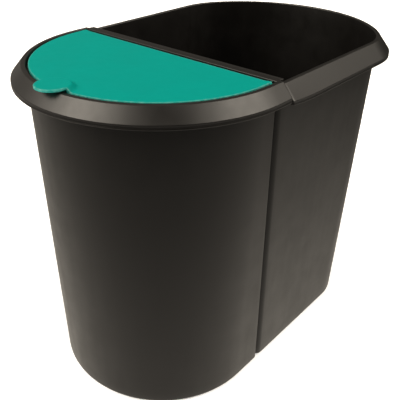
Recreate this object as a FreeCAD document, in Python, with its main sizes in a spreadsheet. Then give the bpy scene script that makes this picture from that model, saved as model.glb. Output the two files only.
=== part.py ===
import FreeCAD, Part
import math
import os
import re
import Sketcher

# Double desk-side bin: two D-plan tubs that stand flat wall to flat wall. The large tub is open.
# The small tub hooks over the large tub's straight rim and has a hinged lid with a finger tab.
# Millimetres, +Z up, +X along the bin towards the open tub, +Y across it. The origin is the middle
# of the base of the bin's bounding box. The seam is the plane where the two collars meet.

doc = FreeCAD.newDocument("double_bin")
sheet = doc.addObject("Spreadsheet::Sheet", "dims")

DRIVING = [
    ("rim_height", 340.0, "large tub, floor to rim"),
    ("half_width", 124.5, "centre line to the outside of the side walls at the rim"),
    ("small_straight", 17.0, "seam to the centre of the small tub's round end"),
    ("large_straight", 163.5, "seam to where the large tub's end starts to curve"),
    ("end_rise", 99.5, "length of the large tub's curved end"),
    ("shoulder_radius", 70.0, "arcs between the large tub's sides and its end"),
    ("large_corner", 7.0, "upright corners beside the large tub's flat wall"),
    ("small_corner", 1.2, "upright corners beside the small tub's flat wall"),
    ("wall", 2.3, "walls of both tubs"),
    ("floor_skin", 2.5, "floors of both tubs"),
    ("foot_height", 2.0, "ring that each tub stands on"),
    ("foot_width", 14.0, "outside of the wall to the inside of that ring"),
    ("base_round", 6.0, "rounding between walls and floor"),
    ("draft_inset", 10.0, "lean of the side and end walls, from rim to floor"),
    ("flat_lean", 20.5, "lean of both flat walls towards +X, from rim to floor"),
    ("flat_setback", 4.8, "seam to the small tub's flat wall at the rim"),
    ("flat_gap", 3.0, "between the two flat walls"),
    ("collar_reach", 13.5, "outside of the walls to the collar's lip"),
    ("collar_skin", 2.2, "collars, ledge, straight rim and hook"),
    ("collar_lip", 4.4, "upright lip at the edge of the collars"),
    ("large_land", 1.8, "flat top of the large tub's collar"),
    ("large_drop", 15.0, "slope of the large tub's collar, top to bottom"),
    ("small_land", 4.2, "flat top of the small tub's collar"),
    ("small_drop", 12.0, "slope of the small tub's collar, top to bottom"),
    ("seam_gap", 0.6, "between the two collars' ends"),
    ("bar_skin", 2.6, "divider bar where it lies over the straight rim"),
    ("bar_clearance", 0.4, "divider bar above the straight rim"),
    ("bar_reach", 6.0, "seam to the divider bar's far edge"),
    ("bar_end_gap", 0.8, "divider bar's ends to the outside of the side walls"),
    ("web_gap", 0.6, "bar's upright web to the large tub's flat wall"),
    ("hook_gap", 1.2, "hook to the edge of the straight rim"),
    ("hook_depth", 12.0, "divider bar's top to the hook's lower edge"),
    ("hook_end_gap", 8.0, "hook's ends to the outside of the side walls"),
    ("rim_edge", 8.0, "turned-down edge of the straight rim"),
    ("recess_inset", 1.0, "outside of the walls in to the recess round the lid"),
    ("lid_gap", 2.4, "round the lid"),
    ("lid_drop", 0.2, "lid's top below the collar's top"),
    ("lid_depth", 5.0, "lid's top to the lower edge of its skirt"),
    ("lid_skin", 2.2, "lid and its skirt"),
    ("ledge_clearance", 0.3, "lid's skirt to the ledge under it"),
    ("ledge_reach", 0.6, "inside of the lid's skirt in to the ledge's edge"),
    ("pin_radius", 1.8, "stub pins at both ends of the lid's straight edge"),
    ("pin_clearance", 0.08, "round each pin in its hole"),
    ("pin_engagement", 1.9, "length of each pin that lies in its hole"),
    ("tab_radius", 15.3, "finger tab"),
    ("tab_reach", 16.8, "lid's edge to the tab's tip"),
    ("tab_lift", 1.5, "tab above the collar's top"),
    ("tab_root", 8.0, "tab's middle to where it rises from the lid"),
]

DERIVED = [
    ("seam", "(small_straight - large_straight + half_width - end_rise) / 2"),
    ("small_height", "rim_height + bar_skin + bar_clearance"),
    ("small_centre", "seam - small_straight"),
    ("shoulder_x", "seam + large_straight"),
    ("shoulder_y", "half_width - shoulder_radius"),
    ("end_radius", "(shoulder_y^2 + end_rise^2 - shoulder_radius^2) / (2 * (end_rise - shoulder_radius))"),
    ("end_x", "shoulder_x + end_rise - end_radius"),
    ("small_flat", "seam - flat_setback"),
    ("large_flat", "small_flat + flat_gap"),
    ("floor_level", "foot_height + floor_skin"),
    ("web_outside", "large_flat - web_gap"),
    ("recess_flat", "web_outside - collar_skin"),
    ("ledge_depth", "lid_drop + lid_depth + ledge_clearance"),
    ("ledge_level", "small_height - ledge_depth"),
    ("hook_inside", "seam + bar_reach - collar_skin"),
    ("rim_inside", "hook_inside - hook_gap"),
    ("rim_end", "half_width - wall + collar_skin / 5"),
    ("recess_back", "collar_skin - recess_inset"),
    ("land_edge", "small_land - recess_inset"),
    ("small_run", "collar_reach - land_edge"),
    ("small_steep", "small_drop / small_run"),
    ("small_under", "collar_skin * sqrt(1 + small_steep^2)"),
    ("large_run", "collar_reach - large_land"),
    ("large_steep", "large_drop / large_run"),
    ("large_under", "collar_skin * sqrt(1 + large_steep^2)"),
    ("large_seam", "seam + seam_gap"),
    ("lid_grow", "0 - recess_inset - lid_gap"),
    ("ledge_edge", "lid_grow - lid_skin - ledge_reach"),
    ("lid_top", "small_height - lid_drop"),
    ("barrel_radius", "lid_depth / 2"),
    ("pin_x", "recess_flat - lid_gap - barrel_radius"),
    ("pin_z", "lid_top - barrel_radius"),
    ("pin_end", "half_width - recess_inset + pin_engagement"),
    ("tab_x", "small_centre - half_width - lid_grow - tab_reach + tab_radius"),
    ("tab_under", "small_height + tab_lift"),
]

for row, (alias, size, meaning) in enumerate(DRIVING, start=1):
    sheet.set("A%d" % row, meaning)
    sheet.set("B%d" % row, str(size))
    sheet.setAlias("B%d" % row, alias)
for row, (alias, formula) in enumerate(DERIVED, start=len(DRIVING) + 1):
    sheet.set("A%d" % row, alias.replace("_", " "))
    sheet.set("B%d" % row, "=" + formula)
    sheet.setAlias("B%d" % row, alias)
doc.recompute()

# Steps that stand in for the quarter circle of each tub's rounded base edge.
ROUND_STEPS = 4

ALIASES = {name for name, *_ in DRIVING + DERIVED}


def bound(formula):
    """The formula with each alias written as the sheet's own, for use by any object."""
    return re.sub("[a-z_]+", lambda word: ("dims." if word[0] in ALIASES else "") + word[0], formula)


def number(formula):
    """The formula's value in the sheet's present sizes."""
    return float(sheet.evalExpression(bound(formula)))


def plane(body, role):
    """The body's own origin plane with this role."""
    return next(item for item in body.Origin.OriginFeatures if item.Role == role)


def new_sketch(body, name, role, level="0"):
    """An empty sketch on an origin plane of its body, moved along that plane's normal."""
    sketch = body.newObject("Sketcher::SketchObject", name)
    sketch.AttachmentSupport = (plane(body, role), [""])
    sketch.MapMode = "FlatFace"
    sketch.setExpression("AttachmentOffset.Base.z", bound(level))
    return sketch


def fix(sketch, kind, *where, formula):
    """A dimension of the sketch, bound to a formula."""
    index = sketch.addConstraint(Sketcher.Constraint(kind, *where, number(formula)))
    sketch.setExpression("Constraints[%d]" % index, bound(formula))


def join(sketch, kind, first, second):
    """The end of one edge meets the start of the next, with or without a corner."""
    sketch.addConstraint(Sketcher.Constraint(kind, first, 2, second, 1))


def line(sketch, start, end):
    """A straight edge between two points in the sketch's plane."""
    return sketch.addGeometry(Part.LineSegment(FreeCAD.Vector(*start, 0), FreeCAD.Vector(*end, 0)))


def arc(sketch, centre, radius, first, last):
    """A counter-clockwise arc between two angles in radians."""
    circle = Part.Circle(FreeCAD.Vector(*centre, 0), FreeCAD.Vector(0, 0, 1), radius)
    return sketch.addGeometry(Part.ArcOfCircle(circle, first, last))


def polygon(sketch, points):
    """A closed outline through points whose coordinates are formulas."""
    places = [(number(x), number(y)) for x, y in points]
    edges = [line(sketch, place, places[(i + 1) % len(places)]) for i, place in enumerate(places)]
    for i, edge in enumerate(edges):
        join(sketch, "Coincident", edge, edges[(i + 1) % len(edges)])
    for edge, (x, y) in zip(edges, points):
        fix(sketch, "DistanceX", edge, 1, formula=x)
        fix(sketch, "DistanceY", edge, 1, formula=y)


def outline(sketch, tub, grow, flat, corner=None, closed=True):
    """A tub's D-shaped outline, counter-clockwise, its flat side at x = flat.

    The outline lies outside the tub's own by grow. It has rounded corners if corner is given,
    and leaves the flat side out if it isn't closed.
    """
    way = 1 if tub == "small" else -1
    half, side_x = number("half_width + " + grow), number(flat)
    bend = number(corner) if corner else 0
    near = side_x - way * bend
    if tub == "small":
        far = number("small_centre")
        round_end = [((far, 0), half, math.pi / 2, 3 * math.pi / 2)]
    else:
        far, across_y, middle = number("shoulder_x"), number("shoulder_y"), number("end_x")
        shoulder, turn = number("shoulder_radius + " + grow), math.atan2(across_y, far - middle)
        round_end = [
            ((far, -across_y), shoulder, -math.pi / 2, -turn),
            ((middle, 0), number("end_radius + " + grow), -turn, turn),
            ((far, across_y), shoulder, turn, math.pi / 2),
        ]
    first = line(sketch, (near, way * half), (far, way * half))
    ends = [arc(sketch, *piece) for piece in round_end]
    last = line(sketch, (far, -way * half), (near, -way * half))
    chain = [first, *ends, last]
    for edge in (first, last):
        sketch.addConstraint(Sketcher.Constraint("Horizontal", edge))
    if tub == "small":
        sketch.addConstraint(Sketcher.Constraint("PointOnObject", ends[0], 3, -1))
        fix(sketch, "DistanceX", ends[0], 3, formula="small_centre")
        fix(sketch, "Radius", ends[0], formula="half_width + " + grow)
    else:
        fix(sketch, "DistanceX", ends[1], 3, formula="end_x")
        for edge, sign in ((ends[0], "-1"), (ends[2], "1")):
            fix(sketch, "DistanceX", edge, 3, formula="shoulder_x")
            fix(sketch, "DistanceY", edge, 3, formula=sign + " * shoulder_y")
            fix(sketch, "Radius", edge, formula="shoulder_radius + " + grow)
    if corner:
        start = 0 if way > 0 else math.pi
        before = arc(sketch, (near, -way * (half - bend)), bend, start - math.pi / 2, start)
        side = line(sketch, (side_x, -way * (half - bend)), (side_x, way * (half - bend)))
        after = arc(sketch, (near, way * (half - bend)), bend, start, start + math.pi / 2)
        chain += [before, side, after]
        for edge in (before, after):
            fix(sketch, "Radius", edge, formula=corner)
    elif closed:
        side = line(sketch, (side_x, -way * half), (side_x, way * half))
        join(sketch, "Coincident", last, side)
        join(sketch, "Coincident", side, first)
    for one, other in zip(chain, chain[1:] + chain[:1] if corner else chain[1:]):
        join(sketch, "Tangent", one, other)
    if closed:
        sketch.addConstraint(Sketcher.Constraint("Vertical", side))
        fix(sketch, "DistanceX", side, 1, formula=flat)
    else:
        fix(sketch, "DistanceX", first, 1, formula=flat)
        fix(sketch, "DistanceX", last, 2, formula=flat)


def drafted(body, kind, name, tub, inset, bottom, top, bend, corner):
    """A tub's outside or inside: leaning walls over a floor with a rounded edge, as one loft.

    The sections lie on a quarter circle of radius bend, and the last one at the top.
    """
    away = "-" if tub == "small" else "+"
    angles = [math.radians(90 * i / ROUND_STEPS) for i in range(ROUND_STEPS + 1)]
    steps = [(1 - math.cos(angle), 1 - math.sin(angle)) for angle in angles]
    places = [("%s + %.6f * (%s)" % (bottom, up, bend), "%.6f * (%s)" % (in_, bend)) for up, in_ in steps]
    places.append((top, "0"))
    sketches = []
    for i, (level, step) in enumerate(places):
        lean = "(1 - (%s) / rim_height)" % level
        shift = "%s + %s" % (inset, step)
        sketch = new_sketch(body, "%s_section_%d" % (name, i), "XY_Plane", level)
        grow = "0 - draft_inset * %s - (%s)" % (lean, shift)
        flat = "%s_flat + flat_lean * %s %s (%s)" % (tub, lean, away, shift)
        outline(sketch, tub, grow, flat, corner)
        sketches.append(sketch)
    feature = body.newObject("PartDesign::" + kind, name)
    feature.Profile = sketches[0]
    feature.Sections = sketches[1:]
    feature.Ruled = True
    doc.recompute()
    return feature


def extrude(body, kind, name, sketch, length, symmetric=False, reverse=False):
    """A pad or pocket of this length."""
    feature = body.newObject("PartDesign::" + kind, name)
    feature.Profile = sketch
    feature.setExpression("Length", bound(length))
    if symmetric:
        feature.SideType = "Symmetric"
    feature.Reversed = reverse
    doc.recompute()
    return feature


def sweep_collar(body, name, tub, flat, level, section):
    """A collar: its section, drawn in the seam's plane beside the -Y wall, swept round the tub."""
    path = new_sketch(body, name + "_path", "XY_Plane", level)
    outline(path, tub, "0", flat, closed=False)
    profile = new_sketch(body, name + "_section", "YZ_Plane", flat)
    polygon(profile, [("-1 * half_width - ( %s )" % out, level + " + " + up) for out, up in section])
    feature = body.newObject("PartDesign::AdditivePipe", name)
    feature.Profile = profile
    feature.Spine = path
    doc.recompute()
    return feature


def rectangle(left, right, low, high):
    """Corner points, as formulas."""
    return [(left, low), (right, low), (right, high), (left, high)]


def across(body, kind, name, shapes, half_length):
    """A section in the XZ plane, padded or cut evenly to both sides of the centre line."""
    sketch = new_sketch(body, name + "_section", "XZ_Plane")
    for shape in shapes:
        if len(shape) == 3:
            add_circle(sketch, *shape)
        else:
            polygon(sketch, shape)
    return extrude(body, kind, name, sketch, "2 * (%s)" % half_length, symmetric=True)


def add_circle(sketch, x, y, radius):
    """A circle whose centre and radius are formulas."""
    centre = FreeCAD.Vector(number(x), number(y), 0)
    edge = sketch.addGeometry(Part.Circle(centre, FreeCAD.Vector(0, 0, 1), number(radius)))
    fix(sketch, "DistanceX", edge, 3, formula=x)
    fix(sketch, "DistanceY", edge, 3, formula=y)
    fix(sketch, "Radius", edge, formula=radius)


def collar_ends(body, name, flat, points, reverse):
    """The two walls that close the collar's hollow underside at the seam."""
    sketch = new_sketch(body, name + "_section", "YZ_Plane", flat)
    for side in ("-1", "1"):
        polygon(sketch, [("%s * (half_width + %s)" % (side, out), up) for out, up in points])
    return extrude(body, "Pad", name, sketch, "collar_skin", reverse=reverse)


def foot_recess(body, tub, flat):
    """The shallow hollow under the floor, which leaves the ring that the tub stands on."""
    sketch = new_sketch(body, "foot_recess_outline", "XY_Plane")
    outline(sketch, tub, "0 - draft_inset - foot_width", flat)
    return extrude(body, "Pocket", "foot_recess", sketch, "foot_height", reverse=True)


def build_large_tub():
    """Drafted D-plan walls and floor, an outside collar and a straight rim beside the small tub."""
    body = doc.addObject("PartDesign::Body", "large_tub")
    drafted(body, "AdditiveLoft", "outside", "large", "0", "0", "rim_height", "base_round", "large_corner")
    drafted(body, "SubtractiveLoft", "inside", "large", "wall", "floor_level", "rim_height",
            "base_round - wall", "large_corner - wall")
    sweep_collar(body, "collar", "large", "large_seam", "rim_height", [
        ("0 - wall / 2", "0"),
        ("large_land", "0"),
        ("collar_reach", "0 - large_drop"),
        ("collar_reach", "0 - large_drop - collar_lip"),
        ("collar_reach - collar_skin", "0 - large_drop - collar_lip"),
        ("collar_reach - collar_skin", "0 - (large_run - collar_skin) * large_steep - large_under"),
        ("0", "large_land * large_steep - large_under"),
        ("0 - wall / 2", "large_land * large_steep - large_under"),
    ])
    collar_ends(body, "collar_ends", "large_seam", [
        ("0 - wall", "rim_height - collar_skin / 2"),
        ("large_land", "rim_height - collar_skin / 2"),
        ("collar_reach - collar_skin / 2", "rim_height - large_drop"),
        ("collar_reach - collar_skin / 2", "rim_height - large_drop - collar_lip"),
        ("0 - wall", "rim_height - large_drop - collar_lip"),
    ], reverse=False)
    across(body, "Pad", "straight_rim", [[
        ("large_flat + wall / 2", "rim_height"),
        ("rim_inside", "rim_height"),
        ("rim_inside", "rim_height - rim_edge"),
        ("rim_inside - collar_skin", "rim_height - rim_edge"),
        ("rim_inside - collar_skin", "rim_height - collar_skin"),
        ("large_flat + wall / 2", "rim_height - collar_skin"),
    ]], "rim_end")
    foot_recess(body, "large", "large_flat + flat_lean + foot_width")
    return body


def build_small_tub():
    """Drafted D-plan walls and floor, an outside collar, the lid's recess and the divider bar."""
    body = doc.addObject("PartDesign::Body", "small_tub")
    drafted(body, "AdditiveLoft", "outside", "small", "0", "0", "ledge_level", "base_round", "small_corner")
    drafted(body, "SubtractiveLoft", "inside", "small", "wall", "floor_level", "ledge_level",
            "base_round - wall", "small_corner")
    sweep_collar(body, "collar", "small", "seam", "small_height", [
        ("ledge_edge", "0 - ledge_depth"),
        ("0 - recess_inset", "0 - ledge_depth"),
        ("0 - recess_inset", "0"),
        ("land_edge", "0"),
        ("collar_reach", "0 - small_drop"),
        ("collar_reach", "0 - small_drop - collar_lip"),
        ("collar_reach - collar_skin", "0 - small_drop - collar_lip"),
        ("collar_reach - collar_skin", "0 - (small_run - collar_skin) * small_steep - small_under"),
        ("land_edge - (small_under - collar_skin) / small_steep", "0 - collar_skin"),
        ("recess_back", "0 - collar_skin"),
        ("recess_back", "0 - ledge_depth - collar_skin"),
        ("ledge_edge", "0 - ledge_depth - collar_skin"),
    ])
    collar_ends(body, "collar_ends", "seam", [
        ("recess_back - collar_skin / 2", "small_height - collar_skin / 2"),
        ("land_edge", "small_height - collar_skin / 2"),
        ("collar_reach - collar_skin / 2", "small_height - small_drop"),
        ("collar_reach - collar_skin / 2", "small_height - small_drop - collar_lip"),
        ("recess_back - collar_skin / 2", "small_height - small_drop - collar_lip"),
    ], reverse=True)
    across(body, "Pad", "bar_web", [[
        ("small_flat - wall / 2", "ledge_level"),
        ("recess_flat", "ledge_level"),
        ("recess_flat", "small_height"),
        ("seam", "small_height"),
        ("seam", "small_height - bar_skin"),
        ("web_outside", "small_height - bar_skin"),
        ("web_outside", "ledge_level - collar_skin"),
        ("small_flat - wall / 2", "ledge_level - collar_skin"),
    ]], "half_width + recess_back - collar_skin / 2")
    slot_floor = "ledge_level - hook_depth"
    slot = rectangle("web_outside", "seam + bar_reach", slot_floor, "small_height - bar_skin")
    across(body, "Pocket", "rim_slot", [slot], "half_width + recess_back")
    bar = rectangle("recess_flat", "seam + bar_reach", "small_height - bar_skin", "small_height")
    across(body, "Pad", "bar", [bar], "half_width - bar_end_gap")
    hook_edge = "small_height - hook_depth"
    hook = rectangle("hook_inside", "seam + bar_reach", hook_edge, "small_height - bar_skin / 2")
    across(body, "Pad", "hook", [hook], "half_width - hook_end_gap")
    hole = ("pin_x", "pin_z", "pin_radius + pin_clearance")
    across(body, "Pocket", "pin_holes", [hole], "half_width + recess_back")
    foot_recess(body, "small", "small_flat + flat_lean - foot_width")
    return body


def build_lid():
    """A shallow D-plan cap with a rounded hinge edge, two stub pins and a raised finger tab."""
    body = doc.addObject("PartDesign::Body", "lid")
    tab = new_sketch(body, "tab_outline", "XY_Plane", "lid_top - lid_skin / 2")
    turn = math.acos(number("tab_root / tab_radius"))
    lobe = arc(tab, (number("tab_x"), 0), number("tab_radius"), turn, 2 * math.pi - turn)
    chord_y = number("tab_radius") * math.sin(turn)
    root = number("tab_x + tab_root")
    chord = line(tab, (root, -chord_y), (root, chord_y))
    join(tab, "Coincident", lobe, chord)
    join(tab, "Coincident", chord, lobe)
    tab.addConstraint(Sketcher.Constraint("Vertical", chord))
    tab.addConstraint(Sketcher.Constraint("PointOnObject", lobe, 3, -1))
    fix(tab, "DistanceX", lobe, 3, formula="tab_x")
    fix(tab, "Radius", lobe, formula="tab_radius")
    fix(tab, "DistanceX", chord, 1, formula="tab_x + tab_root")
    extrude(body, "Pad", "tab", tab, "tab_under + lid_skin - lid_top + lid_skin / 2")
    clearance = new_sketch(body, "tab_underside", "XY_Plane", "lid_top - lid_skin")
    outline(clearance, "small", "lid_grow", "seam")
    outline(clearance, "small", "lid_grow + tab_reach + lid_skin", "seam + tab_reach")
    extrude(body, "Pocket", "tab_clearance", clearance, "tab_under - lid_top + lid_skin", reverse=True)
    cap = new_sketch(body, "cap_outline", "XY_Plane", "lid_top - lid_depth")
    outline(cap, "small", "lid_grow", "pin_x")
    extrude(body, "Pad", "cap", cap, "lid_depth")
    hollow = new_sketch(body, "hollow_outline", "XY_Plane", "lid_top - lid_depth")
    outline(hollow, "small", "lid_grow - lid_skin", "pin_x")
    extrude(body, "Pocket", "hollow", hollow, "lid_depth - lid_skin", reverse=True)
    barrel = ("pin_x", "pin_z", "barrel_radius")
    across(body, "Pad", "hinge_edge", [barrel], "half_width + lid_grow")
    across(body, "Pad", "pins", [("pin_x", "pin_z", "pin_radius")], "pin_end")
    return body


def finish(pieces):
    """Checks every object and piece, then writes one file for each piece."""
    doc.recompute()
    for item in doc.Objects:
        if {"Invalid", "Error"} & set(item.State):
            raise RuntimeError("%s is not valid: %s" % (item.Name, item.State))
    os.makedirs("parts", exist_ok=True)
    for node, body in pieces.items():
        body.Label = node
        shape = body.Shape
        if shape.isNull() or not shape.isValid() or len(shape.Solids) != 1:
            raise RuntimeError("%s is not one valid solid" % node)
        shape.exportStep(os.path.join("parts", node + ".step"))
        box = shape.BoundBox
        corners = (box.XMin, box.XMax, box.YMin, box.YMax, box.ZMin, box.ZMax)
        print(node, "%.0f mm3" % shape.Volume, " ".join("%.2f" % side for side in corners))


finish({"large_tub": build_large_tub(), "small_tub": build_small_tub(), "lid": build_lid()})
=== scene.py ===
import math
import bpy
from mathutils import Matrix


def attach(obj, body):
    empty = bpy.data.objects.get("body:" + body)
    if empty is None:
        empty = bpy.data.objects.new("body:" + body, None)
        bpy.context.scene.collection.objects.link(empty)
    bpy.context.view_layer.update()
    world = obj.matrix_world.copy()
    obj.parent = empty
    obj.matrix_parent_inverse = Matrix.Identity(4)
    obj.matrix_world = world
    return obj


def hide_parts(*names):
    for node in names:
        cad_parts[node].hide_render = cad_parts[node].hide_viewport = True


bl_info = {
    "name": "Double Recycling Bin",
    "version": (1, 0, 0),
    "blender": (4, 5, 0),
    "location": "3D View > Sidebar > Bin",
    "description": "Surfaces, plastics and studio for a two-tub desk-side recycling bin",
    "category": "Object",
}

import bmesh
import bpy
import numpy as np
from bpy.props import FloatProperty, FloatVectorProperty, PointerProperty
from mathutils import Matrix, Vector

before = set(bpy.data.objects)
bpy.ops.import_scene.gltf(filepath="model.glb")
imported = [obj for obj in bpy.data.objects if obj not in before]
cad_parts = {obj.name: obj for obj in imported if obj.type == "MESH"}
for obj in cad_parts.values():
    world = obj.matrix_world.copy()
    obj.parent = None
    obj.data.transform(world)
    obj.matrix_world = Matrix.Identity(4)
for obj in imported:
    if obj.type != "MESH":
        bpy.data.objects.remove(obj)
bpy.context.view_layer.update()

MM = 0.001


def length(name, description, millimetres):
    """A size of the bin, kept in metres."""
    return FloatProperty(
        name=name, description=description, default=millimetres * MM, min=0.0,
        precision=4, unit="LENGTH", subtype="DISTANCE",
    )


def colour(name, description, rgb):
    """A linear colour."""
    return FloatVectorProperty(
        name=name, description=description, default=rgb, size=3, min=0.0, max=1.0, subtype="COLOR",
    )


class BinSizes(bpy.types.PropertyGroup):
    """Sizes of the two tubs and the lid."""

    rim_height: length("Rim height", "Large tub, floor to rim", 340)
    half_width: length("Half width", "Centre line to the outside of the side walls at the rim", 124.5)
    small_straight: length("Small straight", "Seam to the centre of the small tub's round end", 17)
    large_straight: length("Large straight", "Seam to where the large tub's end starts to curve", 163.5)
    end_rise: length("End rise", "Length of the large tub's curved end", 99.5)
    shoulder_radius: length("Shoulder radius", "Arcs between the large tub's sides and its end", 70)
    large_corner: length("Large corner", "Upright corners beside the large tub's flat wall", 7)
    small_corner: length("Small corner", "Upright corners beside the small tub's flat wall", 1.2)
    wall: length("Wall", "Walls of both tubs", 2.3)
    floor_skin: length("Floor skin", "Floors of both tubs", 2.5)
    foot_height: length("Foot height", "Ring that each tub stands on", 2)
    foot_width: length("Foot width", "Outside of the wall to the inside of that ring", 14)
    base_round: length("Base round", "Rounding between walls and floor", 6)
    draft_inset: length("Draft inset", "Lean of the side and end walls, from rim to floor", 10)
    flat_lean: length("Flat lean", "Lean of both flat walls, from rim to floor", 20.5)
    flat_setback: length("Flat setback", "Seam to the small tub's flat wall at the rim", 4.8)
    flat_gap: length("Flat gap", "Between the two flat walls", 3)
    collar_reach: length("Collar reach", "Outside of the walls to the collar's lip", 13.5)
    collar_skin: length("Collar skin", "Collars, ledge, straight rim and hook", 2.2)
    collar_lip: length("Collar lip", "Upright lip at the edge of the collars", 4.4)
    large_land: length("Large land", "Flat top of the large tub's collar", 1.8)
    large_drop: length("Large drop", "Slope of the large tub's collar", 15)
    small_land: length("Small land", "Flat top of the small tub's collar", 4.2)
    small_drop: length("Small drop", "Slope of the small tub's collar", 12)
    seam_gap: length("Seam gap", "Between the two collars' ends", 0.6)
    bar_skin: length("Bar skin", "Divider bar where it lies over the straight rim", 2.6)
    bar_clearance: length("Bar clearance", "Divider bar above the straight rim", 0.4)
    bar_reach: length("Bar reach", "Seam to the divider bar's far edge", 6)
    bar_end_gap: length("Bar end gap", "Divider bar's ends to the outside of the side walls", 0.8)
    web_gap: length("Web gap", "Bar's upright web to the large tub's flat wall", 0.6)
    hook_depth: length("Hook depth", "Divider bar's top to the hook's lower edge", 12)
    hook_gap: length("Hook gap", "Hook to the edge of the straight rim", 1.2)
    hook_end_gap: length("Hook end gap", "Hook's ends to the outside of the side walls", 8)
    rim_edge: length("Rim edge", "Turned-down edge of the straight rim", 8)
    recess_inset: length("Recess inset", "Outside of the walls in to the recess round the lid", 1.0)
    lid_gap: length("Lid gap", "Round the lid", 2.4)
    lid_drop: length("Lid drop", "Lid's top below the collar's top", 0.2)
    lid_depth: length("Lid depth", "Lid's top to the lower edge of its skirt", 5)
    lid_skin: length("Lid skin", "Lid and its skirt", 2.2)
    ledge_clearance: length("Ledge clearance", "Lid's skirt to the ledge under it", 0.3)
    ledge_reach: length("Ledge reach", "Inside of the lid's skirt in to the ledge's edge", 0.6)
    pin_radius: length("Pin radius", "Stub pins at both ends of the lid's straight edge", 1.8)
    pin_engagement: length("Pin engagement", "Length of each pin in its hole", 1.9)
    tab_radius: length("Tab radius", "Finger tab", 15.3)
    tab_reach: length("Tab reach", "Lid's edge to the tab's tip", 16.8)
    tab_lift: length("Tab lift", "Tab above the collar's top", 1.5)


class BinFinish(bpy.types.PropertyGroup):
    """Colours of the plastics and the floor."""

    tub: colour("Tub plastic", "Satin black polypropylene", (0.0032, 0.0028, 0.0024))
    lid: colour("Lid plastic", "Teal green polypropylene", (0.0, 0.238, 0.208))
    floor: colour("Floor", "Pale studio floor", (0.93, 0.93, 0.93))


class BinStudio(bpy.types.PropertyGroup):
    """Camera of the studio."""

    azimuth: FloatProperty(
        name="Azimuth", description="Camera round the bin, from the -Y side", default=math.radians(-47.13),
        subtype="ANGLE",
    )
    elevation: FloatProperty(
        name="Elevation", description="Camera's tilt above the horizon", default=math.radians(29.083),
        subtype="ANGLE",
    )
    place: FloatVectorProperty(
        name="Place", description="Where the camera stands", default=(-0.44986, -0.36897, 0.5041),
        subtype="TRANSLATION", unit="LENGTH",
    )
    focal_length: FloatProperty(
        name="Focal length", description="In millimetres, for a sensor 36 mm wide", default=51.228, min=1.0,
    )


def sizes():
    """The sizes as set, with what follows from them, as plain numbers in metres."""
    chosen = bpy.context.scene.bin_sizes
    s = type("Sizes", (), {key: getattr(chosen, key) for key in BinSizes.__annotations__})
    s.seam = (s.small_straight - s.large_straight + s.half_width - s.end_rise) / 2
    s.small_height = s.rim_height + s.bar_skin + s.bar_clearance
    s.small_centre = s.seam - s.small_straight
    s.shoulder_x = s.seam + s.large_straight
    s.shoulder_y = s.half_width - s.shoulder_radius
    short = s.end_rise - s.shoulder_radius
    s.end_radius = (s.shoulder_y**2 + s.end_rise**2 - s.shoulder_radius**2) / (2 * short)
    s.end_x = s.shoulder_x + s.end_rise - s.end_radius
    s.small_flat = s.seam - s.flat_setback
    s.large_flat = s.small_flat + s.flat_gap
    s.floor_level = s.foot_height + s.floor_skin
    s.web_outside = s.large_flat - s.web_gap
    s.recess_flat = s.web_outside - s.collar_skin
    s.ledge_depth = s.lid_drop + s.lid_depth + s.ledge_clearance
    s.ledge_level = s.small_height - s.ledge_depth
    s.bar_far = s.seam + s.bar_reach
    s.hook_inside = s.bar_far - s.collar_skin
    s.rim_inside = s.hook_inside - s.hook_gap
    s.large_seam = s.seam + s.seam_gap
    s.recess_back = s.collar_skin - s.recess_inset
    s.land_edge = s.small_land - s.recess_inset
    s.lid_grow = -s.recess_inset - s.lid_gap
    s.ledge_edge = s.lid_grow - s.lid_skin - s.ledge_reach
    s.lid_radius = s.half_width + s.lid_grow
    s.lid_top = s.small_height - s.lid_drop
    s.barrel_radius = s.lid_depth / 2
    s.pin_x = s.recess_flat - s.lid_gap - s.barrel_radius
    s.pin_z = s.lid_top - s.barrel_radius
    s.pin_end = s.half_width - s.recess_inset + s.pin_engagement
    s.tab_x = s.small_centre - s.lid_radius - s.tab_reach + s.tab_radius
    s.tab_under = s.small_height + s.tab_lift
    return s


# Shapes


def unit(v):
    """Rows of v, each divided by its length; a row of no length stays as it is."""
    return v / np.maximum(np.linalg.norm(v, axis=-1, keepdims=True), 1e-12)


def rounded(corners, steps=5, hold=0.15 * MM):
    """A closed profile whose corners (a, b, radius) are turned into arcs, and which points are on an arc.

    At a corner P with unit directions u, v to its neighbours and half angle h between them, the arc has its
    centre at P + unit(u + v) radius / sin h and touches both edges at radius / tan h from P. A point a little
    further along each edge keeps the flat beside the arc flat. The second result is 1 on the arcs and 0 on
    the flats.
    """
    corners = np.array(corners, float)
    p, radius = corners[:, :2], np.maximum(corners[:, 2:], 0.01 * MM)
    back, ahead = np.roll(p, 1, 0) - p, np.roll(p, -1, 0) - p
    room_back, room_ahead = (np.linalg.norm(w, axis=1, keepdims=True) for w in (back, ahead))
    u, v = unit(back), unit(ahead)
    half = np.arccos(np.clip((u * v).sum(1, keepdims=True), -1, 1)) / 2
    cut = np.maximum(radius / np.tan(half), 0.02 * MM)
    centre = p + unit(u + v) * radius / np.sin(half)
    turn = np.maximum(np.pi - 2 * half, 1e-4)[:, None]
    t = np.linspace(0, 1, steps)[None, :, None]
    start, end = (p + u * cut - centre)[:, None], (p + v * cut - centre)[:, None]
    arcs = centre[:, None] + (np.sin((1 - t) * turn) * start + np.sin(t * turn) * end) / np.sin(turn)
    before = p + u * (cut + np.minimum(hold, 0.2 * room_back))
    after = p + v * (cut + np.minimum(hold, 0.2 * room_ahead))
    points = np.concatenate([before[:, None], arcs, after[:, None]], axis=1)
    edge = np.concatenate([[0.0], np.ones(steps), [0.0]])
    return points.reshape(-1, 2), np.tile(edge, len(p))


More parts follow.
